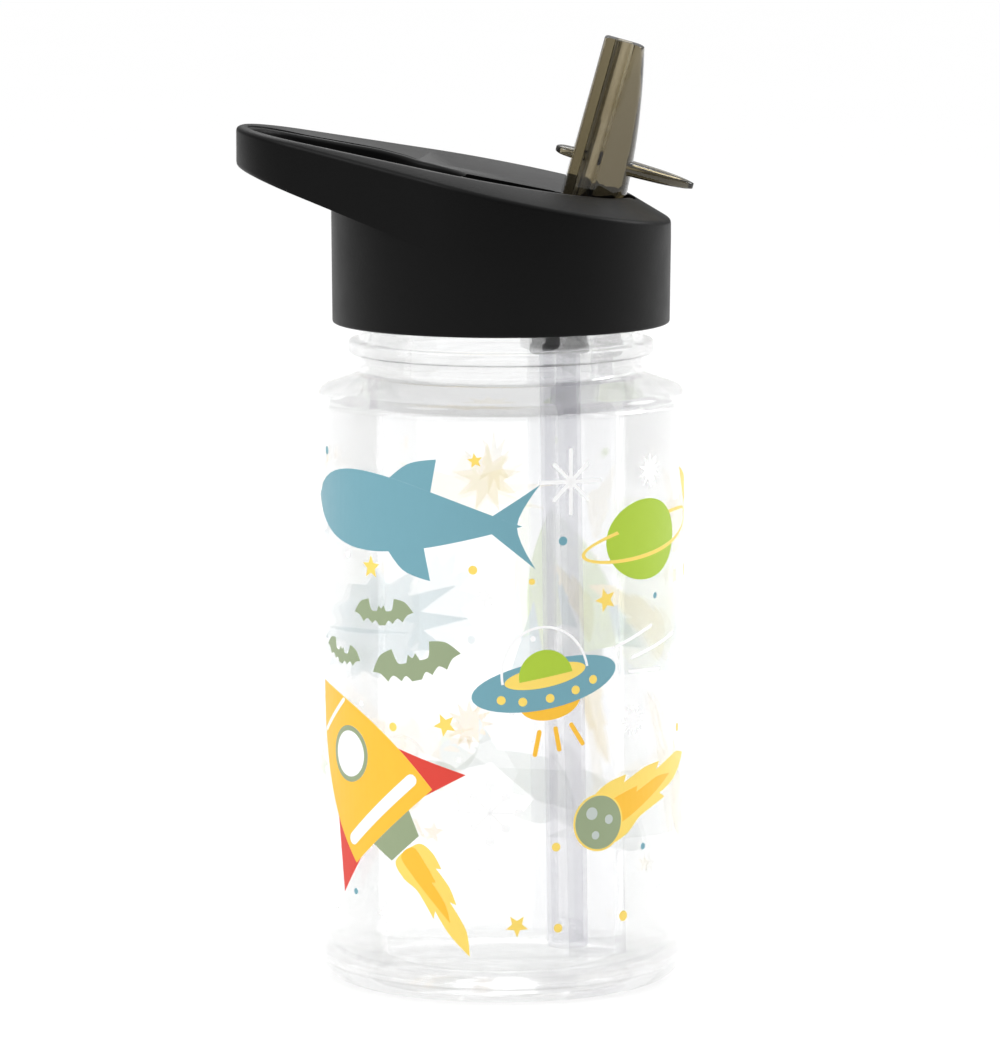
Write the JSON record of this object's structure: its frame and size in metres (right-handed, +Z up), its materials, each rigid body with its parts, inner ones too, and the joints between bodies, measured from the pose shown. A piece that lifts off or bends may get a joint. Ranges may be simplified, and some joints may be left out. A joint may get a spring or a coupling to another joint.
{
  "type": "kids water bottle",
  "caption": "Clear water bottle with a screw lid, a carrying loop on the lid, a flip-up mouthpiece and a straw inside.",
  "frame": {"origin": "on the surface it stands on, below the middle of the overall footprint; the bottle's own axis is 6.9 mm towards +X", "axes": "+Z up along the bottle's axis, -X towards the tip of the carrying loop, +X towards the thumb lever, Y = 0 the mirror plane"},
  "size_m": [0.0871, 0.07, 0.1808],
  "materials": {
    "clear_body": "polished, clear and colourless, printed outside",
    "lid_black": "fine spark-eroded texture",
    "liner_black": "as moulded",
    "silicone_clear": "satin silicone",
    "silicone_dark": "satin silicone",
    "spout_smoke": "polished, see-through, smoky grey-brown",
    "straw_pale": "extruded, translucent"
  },
  "bodies": {
    "bottle": {"bottle_body": "clear_body"},
    "seal": {"neck_seal": "silicone_clear"},
    "lid": {"lid_shell": "lid_black", "inner_cap": "liner_black", "spout_seal": "silicone_dark", "vent_valve": "silicone_clear", "straw_socket": "liner_black", "straw": "straw_pale"},
    "mouthpiece": {"spout": "spout_smoke"}
  },
  "joints": [
    {"name": "lid_lift", "type": "slide", "parent": "bottle", "child": "seal", "axis": [0, 0, 1], "range_m": [0, 0.006]},
    {"name": "lid_turn", "type": "hinge", "parent": "seal", "child": "lid", "pos_m": [0.00692, 0, 0.13], "axis": [0, 0, 1], "range_deg": [0, 540]},
    {"name": "spout_fold", "type": "hinge", "parent": "lid", "child": "mouthpiece", "pos_m": [0.02133, 0, 0.1473], "axis": [0, -1, 0], "range_deg": [0, 85]}
  ],
  "couplings": [
    {"joint": "lid_turn", "follows": "lid_lift", "rad_per_m": 1570.8}
  ]
}
